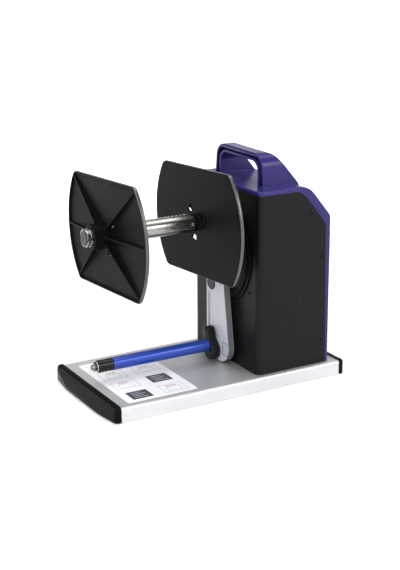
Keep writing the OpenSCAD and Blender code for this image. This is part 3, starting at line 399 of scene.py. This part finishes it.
def chevron_box(work, x, y, line=0.0011, pitch=0.005, half=0.0024, drop=0.003, foot=0.006, peak=0.0096):
    """A box with a smaller one in it, and three red chevrons above the smaller one."""
    printed_box(work, x, y, width=0.034, depth=0.026)
    printed_box(work, x, y - drop, width=0.02, depth=0.012)
    for middle in (x - pitch, x, x + pitch):
        tip = (middle, y + peak)
        printed_bar(work, (middle - half, y + foot), tip, line, second_ink_top, red_ink)
        printed_bar(work, tip, (middle + half, y + foot), line, second_ink_top, red_ink)


def thicken(work, faces, shift):
    """Turns flat faces into closed thin solids that reach into what carries them."""
    made = bmesh.ops.extrude_face_region(work, geom=faces, use_keep_orig=True)["geom"]
    bmesh.ops.translate(work, vec=shift, verts=[v for v in made if isinstance(v, bmesh.types.BMVert)])
    bmesh.ops.recalc_face_normals(work, faces=work.faces)


def printed(name, colour, rough):
    """Print under a clear laminate: slightly uneven ink, soft gloss with faint waves."""
    finish, at = new_finish(name)
    blot = noise(at, size=0.0012)
    wave = noise(at, size=0.03)
    close_finish(at, {
        "Base Color": tint(at, shaded(colour, 0.92), colour, blot),
        "Roughness": rough + (wave - 0.5) * 0.12,
        "Normal": relief_of(at, wave, strength=0.15, depth=0.0002)})
    return finish


def own_piece(name, work, body, *finishes):
    """A piece of the scene's own from a worked mesh, with its finishes, riding on a body."""
    shape = bpy.data.meshes.new(name)
    work.to_mesh(shape)
    work.free()
    for finish in finishes:
        shape.materials.append(finish)
    piece = bpy.data.objects.new(name, shape)
    scene.collection.objects.link(piece)
    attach(piece, body)


work = bmesh.new()
rim = []
for quarter, (x, y) in enumerate(((sheet_right - sheet_corner, sheet_far - sheet_corner),
                                  (sheet_left + sheet_corner, sheet_far - sheet_corner),
                                  (sheet_left + sheet_corner, sheet_near + sheet_corner),
                                  (sheet_right - sheet_corner, sheet_near + sheet_corner))):
    start, stop = math.radians(90 * quarter), math.radians(90 * quarter + 90)
    rim += [(x + dx, y + dy) for dx, dy in arc_points(sheet_corner, corner_steps, start, stop)]
paper_face = [work.verts.new((x, y, paper_top)) for x, y in rim]
paper_back = [work.verts.new((x, y, deck)) for x, y in rim]
for face in (paper_face, paper_back[::-1], *belt(paper_back, paper_face)):
    work.faces.new(face)
for row, y in enumerate(picture_rows):
    for column, x in enumerate(picture_columns):
        picture = dark_field if row == column else chevron_box
        picture(work, x, y)
for row in range(4):
    line_y = first_line + line_pitch * row
    line_end = line_stop - line_step * (row % 3)
    printed_bar(work, (line_start, line_y), (line_end, line_y), line_width, ink_top, grey_ink)
thicken(work, [face for face in work.faces if face.material_index], (0, 0, -ink_depth))
own_piece("guide_sheet", work, "root",
          printed("sheet_white", srgb(243, 243, 246), rough=0.32),
          printed("ink_grey", srgb(120, 120, 128), rough=0.4),
          printed("ink_red", srgb(196, 44, 50), rough=0.4),
          printed("ink_black", srgb(42, 42, 46), rough=0.35),
          printed("ink_pale", srgb(186, 190, 198), rough=0.4))

# Inner frame and drive: a zinc-plated sheet frame bolted to the base, with ball bearings,
# bushes, a geared motor, its gears and the control board. The covers hide all of it.


def clothe(finish, *nodes):
    """Gives a finish to nodes that keep their own shape."""
    for node in nodes:
        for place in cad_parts[node].material_slots:
            place.material = finish


zinc = drawn_metal("zinc_sheet", srgb(176, 180, 184), srgb(140, 146, 152), rough=0.45,
                   stretch=(1, 1, 0.05), metal=0.9)
steel = drawn_metal("turned_steel", srgb(212, 212, 212), srgb(168, 168, 170), rough=0.3,
                    stretch=(0.05, 1, 1))
bronze = drawn_metal("sintered_bronze", srgb(190, 158, 98), srgb(150, 118, 66), rough=0.4,
                     stretch=(0.1, 1, 1))
dark_screw = moulded("black_oxide", srgb(9, 9, 9), srgb(60, 60, 60), rough=0.34, grain=0.0003,
                     edge=0.0002, gloss=0.15)
acetal = moulded("natural_acetal", srgb(226, 222, 208), srgb(240, 238, 230), rough=0.4)
laminate = moulded("board_laminate", srgb(38, 104, 62), srgb(90, 140, 100), rough=0.35, grain=0.002)
sensor_black = moulded("sensor_black", srgb(36, 52, 42), srgb(80, 92, 84), rough=0.45)
clothe(zinc, "bearing_frame")
clothe(steel, "frame_bolts", "front_bearing", "rear_bearing", "gear_motor", "drive_shaft")
clothe(bronze, "pivot_bushes", "board_posts", "motor_pinion")
clothe(dark_screw, "motor_screws", "shaft_clips", "axle_clip")
clothe(acetal, "drive_gear")
clothe(laminate, "control_board")
clothe(sensor_black, "arm_sensor")

# Front cover: the front and both side walls in one black moulding with a fine satin
# grain. It stands on the base and is screwed to the frame and to the rear cover.
cover_black = moulded("cover_black", srgb(13, 13, 13), srgb(62, 62, 62), rough=0.42, grain=0.0005,
                      relief=0.3, pale_share=0.4, edge=0.002, gloss=0.15)
housing_low, housing_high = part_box("front_cover")
cover_corner = 0.008
skin_depth = 0.0004


def skin_edges(edge):
    """Edges on the cover's outer skin are rounded; those inside the housing stay sharp."""
    middle = edge_middle(edge)
    ahead = max(housing_low.x + cover_corner - middle.x, 0)
    beside = max(abs(middle.y) - housing_high.y + cover_corner, 0)
    return float(math.hypot(ahead, beside) > cover_corner - skin_depth)


softened("front_cover", "black_cover", cover_black, width=0.0008, weight=skin_edges)

# Rear cover: back wall, slope, lid and the open-fronted carrying handle in one purple
# moulding. Its outer edges are rounded more than the thin rims of the handle.
cover_purple = moulded("cover_purple", srgb(39, 34, 95), srgb(112, 106, 168), rough=0.26, grain=0.0006,
                       relief=0.12, pale_share=0.2, edge=0.002, gloss=0.22)
lid_low = housing_high.z
lid_top = lid_low + 0.005
lid_corner = 0.0085
hidden_below = lid_low - 0.02
near_enough = 0.0003
facing_share = 0.7
rising_share = 0.2
handle_share = 0.3


def lid_edges(edge):
    """The outer contour is rounder than the handle's edges, and hidden edges stay sharp."""
    middle = edge_middle(edge)
    normals = [face.normal for face in edge.link_faces]
    looks_out = any(n.z > rising_share or n.x > facing_share for n in normals)
    looks_ahead = any(n.x < -facing_share for n in normals)
    at_side = abs(middle.y) > housing_high.y - near_enough
    at_rim = abs(middle.z - lid_top) < near_enough and (
        abs(middle.y) > housing_high.y - lid_corner or middle.x < housing_low.x + lid_corner)
    if at_rim or looks_out and at_side:
        return 1.0
    return handle_share if middle.z > hidden_below and (looks_out or looks_ahead) else 0.0


softened("rear_cover", "purple_cover", cover_purple, width=0.0026, segments=4, weight=lid_edges,
         clamp=False)

# Bezel and screws: a stepped black ring on the housing's front, held by four screws, and
# three screws along the rear edge of each side wall. The screws have cross recesses.
# The bezel's pale ring edges are painted highlights.
bezel_black = moulded("bezel_black", srgb(8, 9, 9), srgb(84, 84, 86), rough=0.38, pale_share=0.6, gloss=0.06)
softened("front_bezel", "stepped_bezel", bezel_black, width=0.0009)

screws = bpy.data.node_groups.new("cross_screws", "GeometryNodeTree")
for label, kind in (("Places", "NodeSocketGeometry"), ("Head Diameter", "NodeSocketFloat"),
                    ("Head Height", "NodeSocketFloat"), ("Shank Diameter", "NodeSocketFloat"),
                    ("Shank Length", "NodeSocketFloat"), ("Facing", "NodeSocketVector"),
                    ("Finish", "NodeSocketMaterial")):
    screws.interface.new_socket(label, in_out="INPUT", socket_type=kind)
screws.interface.new_socket("Screws", in_out="OUTPUT", socket_type="NodeSocketGeometry")
given = {s.name: Wire(s) for s in screws.nodes.new("NodeGroupInput").outputs if s.name}
start = given["Places"]
head_diameter, head_height = given["Head Diameter"], given["Head Height"]
shank_diameter, shank_length = given["Shank Diameter"], given["Shank Length"]
dome_share = 0.3


def vector(x=0.0, y=0.0, z=0.0):
    """A vector in the screws' tree from wires or numbers."""
    return start.make("ShaderNodeCombineXYZ", {}, {"X": x, "Y": y, "Z": z})


head = start.make("GeometryNodeMeshCylinder", {"fill_type": "NGON"}, {
    "Vertices": 28, "Side Segments": 5, "Radius": head_diameter * 0.5, "Depth": head_height}, "Mesh")
spot = start.make("GeometryNodeInputPosition", {}, {})
across, aside, above = (start.make("ShaderNodeSeparateXYZ", {}, {0: spot}, axis) for axis in "XYZ")
share = above / head_height + 0.5
pull = share * share * share * -dome_share
domed = start.make("GeometryNodeSetPosition", {}, {
    "Geometry": head, "Offset": vector(across * pull, aside * pull)})
cross_length = head_diameter * 0.56
cross_width = head_diameter * 0.13
cross_lift = vector(z=head_height * 0.55)
cross = []
for x, y in ((cross_length, cross_width), (cross_width, cross_length)):
    bar = start.make("GeometryNodeMeshCube", {}, {"Size": vector(x, y, head_height)}, "Mesh")
    cross.append(start.make("GeometryNodeTransform", {}, {"Geometry": bar, "Translation": cross_lift}))
recessed = start.make("GeometryNodeMeshBoolean", {"operation": "DIFFERENCE", "solver": "EXACT"}, {
    "Mesh 1": domed, "Mesh 2": cross}, "Mesh")
shank = start.make("GeometryNodeMeshCylinder", {"fill_type": "NGON"}, {
    "Vertices": 16, "Radius": shank_diameter * 0.5, "Depth": shank_length}, "Mesh")
sunk = start.make("GeometryNodeTransform", {}, {
    "Geometry": shank, "Translation": vector(z=shank_length * -0.5 - head_height * 0.5)})
screw = start.make("GeometryNodeJoinGeometry", {}, {"Geometry": [recessed, sunk]})
aim = start.make("FunctionNodeAlignRotationToVector", {"axis": "Z"}, {"Vector": given["Facing"]})
copies = start.make("GeometryNodeInstanceOnPoints", {}, {
    "Points": start, "Instance": screw, "Rotation": aim})
real = start.make("GeometryNodeRealizeInstances", {}, {"Geometry": copies})
dressed = start.make("GeometryNodeSetMaterial", {}, {"Geometry": real, "Material": given["Finish"]})
start.make("NodeGroupOutput", {}, {"Screws": dressed})
screw_head, screw_height, screw_shank = 0.005, 0.0016, 0.003


def screw_row(name, node, places, facing, length):
    """Screws at the given head centres, made by the node tree and turned into a plain mesh."""
    cloud = bpy.data.meshes.new(name)
    cloud.from_pydata(places, [], [])
    row = bpy.data.objects.new(name, cloud)
    scene.collection.objects.link(row)
    maker = row.modifiers.new("screws", "NODES")
    maker.node_group = screws
    values = {"Head Diameter": screw_head, "Head Height": screw_height, "Shank Diameter": screw_shank,
              "Shank Length": length, "Facing": facing, "Finish": dark_screw}
    for item in screws.interface.items_tree:
        if item.in_out == "INPUT" and item.name in values:
            maker[item.identifier] = values[item.name]
    row.update_tag()
    made = bpy.data.meshes.new_from_object(row.evaluated_get(bpy.context.evaluated_depsgraph_get()))
    row.modifiers.clear()
    row.data = made
    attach(row, "root")
    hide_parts(node)


low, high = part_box("bezel_screws")
bezel_places = [(housing_low.x - screw_height / 2, y, z)
                for y in (low.y + screw_head / 2, high.y - screw_head / 2)
                for z in (low.z + screw_head / 2, high.z - screw_head / 2)]
screw_row("bezel_screw_row", "bezel_screws", bezel_places, facing=(-1, 0, 0), length=0.0062)
wall_places = ((0.145, 0.054), (0.1435, 0.175), (0.125, 0.237))
for name, facing in (("near_wall_screws", -1), ("far_wall_screws", 1)):
    head_y = facing * (screw_height / 2 - housing_low.y)
    screw_row(name, "cover_screws", [(x, head_y, z) for x, z in wall_places], (0, facing, 0), length=0.0072)

# Gate marks: three small rings on each side wall, where pins of the mould have pressed into
# the warm plastic. They belong to the front cover's skin and share its finish.
mark_steps = 20
mark_circle = arc_points(0.0013, mark_steps)[:mark_steps]
mark_profile = ((1.2, -0.0001), (1.05, 0.00025), (0.8, 0.00025), (0.75, 0.00005))
mark_places = ((0.1076, 0.2385), (0.0908, 0.1804), (0.1073, 0.1234))
work = bmesh.new()
for facing in (-1, 1):
    for x, z in mark_places:
        rings = [[work.verts.new((x + a * share, facing * (housing_high.y + proud), z + b * share))
                  for a, b in mark_circle] for share, proud in mark_profile]
        for pair in zip(rings, rings[1:]):
            for face in belt(*pair):
                work.faces.new(face)
        work.faces.new(rings[0])
        work.faces.new(rings[-1])
bmesh.ops.recalc_face_normals(work, faces=work.faces)
own_piece("gate_marks", work, "root", cover_black)

# Switch and inlet: a rocker switch that snaps into the back wall, and a barrel power socket
# beside it, all in glossy black plastic. The rocker's key tilts on a body of its own.
gloss_black = moulded("gloss_black", srgb(26, 26, 27), srgb(70, 70, 72), rough=0.2, grain=0.003,
                      relief=0.05, coat=0.4)
softened("switch_body", "switch_frame", gloss_black, width=0.0005)
softened("switch_rocker", "switch_key", gloss_black, width=0.0005, body="rocker")
softened("dc_inlet", "barrel_socket", gloss_black, width=0.0003)

# Mandrel: a drawn aluminium tube with four slots for one-inch cores. A notched steel rack
# lies in its upper slot, and a grey disc closes its free end.
mandrel_metal = drawn_metal("drawn_mandrel", srgb(206, 203, 197), srgb(36, 35, 33), rough=0.26,
                            stretch=(0.002, 1, 1), lines=1.0, pitch=0.0024)
softened("mandrel", "slotted_mandrel", mandrel_metal, width=0.0004, body="reel")
softened("width_rack", "notched_rack", steel, width=0.0002, body="reel", segments=2)
plug_grey = moulded("plug_grey", srgb(42, 44, 48), srgb(110, 112, 116), rough=0.35)
softened("end_plug", "mandrel_plug", plug_grey, width=0.0004, body="reel")

# Flanges: two black mouldings with a rim, six ribs and a hub. The inner one is fixed, and
# the outer one slides on the mandrel against a leaf spring in its hub.


def box_middle(node):
    """The middle of a node's box."""
    low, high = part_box(node)
    return (low + high) / 2


# Painted highlights: the flanges' pale rib and rim edges, and the rim's paler colour, a painted sheen on
# top of its real higher gloss.
flange_black = moulded("flange_black", srgb(14, 16, 15), srgb(120, 122, 121), rough=0.42, grain=0.0006,
                       relief=0.2, edge=0.0008, gloss=0.04)
rim_gloss_painted_sheen = moulded("rim_gloss_painted_sheen", srgb(46, 47, 46), srgb(120, 122, 121), rough=0.3, grain=0.0006,
                    relief=0.1, gloss=0.9)
reel_axis = box_middle("mandrel")
hub_inside = 0.016
rim_inside = 0.06
rim_share = 0.6
rib_share = 0.25


def on_rim(face):
    """True on the faces that look outwards all round a flange."""
    outwards = face.calc_center_median() - reel_axis
    outwards.x = 0
    return outwards.length > rim_inside and face.normal.dot(outwards.normalized()) > rim_share


def rim_edges(edge):
    """The rim is a soft bead, the ribs and the hub have finer edges, and the bore stays sharp."""
    outwards = edge_middle(edge) - reel_axis
    if math.hypot(outwards.y, outwards.z) < hub_inside:
        return 0.0
    return 1.0 if any(on_rim(face) for face in edge.link_faces) else rib_share


for node, name, body in (("inner_flange", "fixed_flange", "reel"),
                         ("outer_flange", "sliding_flange_disc", "sliding_flange")):
    disc = softened(node, name, flange_black, width=0.0022, body=body, segments=4, weight=rim_edges,
                    clamp=False)
    # The outward rim faces take the glossier finish with its painted sheen.
    disc.data.materials.append(rim_gloss_painted_sheen)
    work = bmesh.new()
    work.from_mesh(disc.data)
    for face in work.faces:
        face.material_index = int(on_rim(face))
    work.to_mesh(disc.data)
    work.free()
clothe(steel, "detent_spring")

# Dancer arm: a flat moulded link that hangs from its axle, silver on its face and grey on
# its flanks, with a black plug, a shallow panel and a pale inset framed by a dark strip of painted seam
# shade.
arm_silver = moulded("arm_silver", srgb(192, 192, 200), srgb(236, 236, 240), rough=0.34, grain=0.0008,
                     relief=0.1, pale_share=0.5)
arm_grey = moulded("arm_grey", srgb(104, 105, 108), srgb(170, 170, 174), rough=0.4, grain=0.0008,
                   relief=0.1)
plug_black = moulded("plug_black", srgb(16, 16, 16), srgb(50, 50, 52), rough=0.36)
inset_pale = moulded("pale_inset", srgb(182, 190, 208), srgb(214, 220, 230), rough=0.3)
seam_painted_shade = moulded("seam_shadow", srgb(62, 64, 70), srgb(110, 112, 118), rough=0.6)
arm = softened("dancer_arm", "silver_arm", arm_silver, width=0.0012, body="arm")
arm.data.materials.append(arm_grey)
for face in arm.data.polygons:
    face.material_index = 0 if face.normal.x < -facing_share else 1
softened("arm_plug", "round_arm_plug", plug_black, width=0.0004, body="arm")
softened("arm_insert", "pale_inset", inset_pale, width=0.0003, body="arm")
softened("pivot_axle", "arm_axle", steel, width=0.0005, body="arm")

low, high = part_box("arm_insert")
joint_width = 0.0009
joint_depth = 0.0002
joint_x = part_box("dancer_arm")[0].x - 0.00003
# A thin dark frame in the inset's joint, painted as the shade in its seam.
work = bmesh.new()
for y0, y1, z0, z1 in ((low.y - joint_width, high.y + joint_width, low.z - joint_width, low.z),
                       (low.y - joint_width, high.y + joint_width, high.z, high.z + joint_width),
                       (low.y - joint_width, low.y, low.z, high.z),
                       (high.y, high.y + joint_width, low.z, high.z)):
    corners = ((y0, z0), (y0, z1), (y1, z1), (y1, z0))
    work.faces.new([work.verts.new((joint_x, y, z)) for y, z in corners])
thicken(work, list(work.faces), (joint_depth, 0, 0))
own_piece("inset_joint", work, "arm", seam_painted_shade)

# Guide roller: a blue anodised tube on two black bushes that turns on a steel spindle. A
# washer and a toothed spring clip hold it at the free end.
roller_blue = drawn_metal("blue_anodised", srgb(34, 68, 162), srgb(26, 54, 142), rough=0.32,
                          stretch=(0.003, 1, 1), metal=0.35, lines=0.2)
bush_black = moulded("bush_black", srgb(18, 18, 18), srgb(70, 70, 72), rough=0.22, grain=0.002,
                     relief=0.06, gloss=0.2)
spindle_grey = drawn_metal("spindle_grey", srgb(158, 150, 142), srgb(110, 104, 98), rough=0.36,
                           stretch=(0.05, 1, 1), edge=0.0002)
clip_brown = drawn_metal("tempered_clip", srgb(70, 50, 38), srgb(44, 32, 26), rough=0.45,
                         stretch=(1, 1, 1), metal=0.5, edge=0.0002)
softened("roller_tube", "blue_roller", roller_blue, width=0.0004, body="roller")
softened("roller_end_bush", "outer_bush", bush_black, width=0.0008, body="roller")
softened("roller_inner_bush", "inner_bush", bush_black, width=0.0003, body="roller")
softened("roller_spindle", "pointed_spindle", spindle_grey, width=0.00012, body="arm")
softened("tip_washer", "pale_washer", steel, width=0.0003, body="arm")
clothe(clip_brown, "tip_clip")

# Clamp knob: a black moulded knob on the spindle's root that clamps it to the arm. Its
# round end runs into a leaning lever end, and its front edge is well rounded.
knob_black = moulded("knob_black", srgb(12, 12, 11), srgb(70, 68, 64), rough=0.34, grain=0.0005,
                     relief=0.2, gloss=0.25)
spindle_axis = box_middle("roller_spindle")
knob_bore = 0.0055


def knob_edges(edge):
    """The outline is well rounded, and the bore for the spindle stays sharp."""
    outwards = edge_middle(edge) - spindle_axis
    return float(math.hypot(outwards.y, outwards.z) > knob_bore)


softened("clamp_knob", "lever_knob", knob_black, width=0.0036, body="knob", segments=6,
         weight=knob_edges, clamp=False)
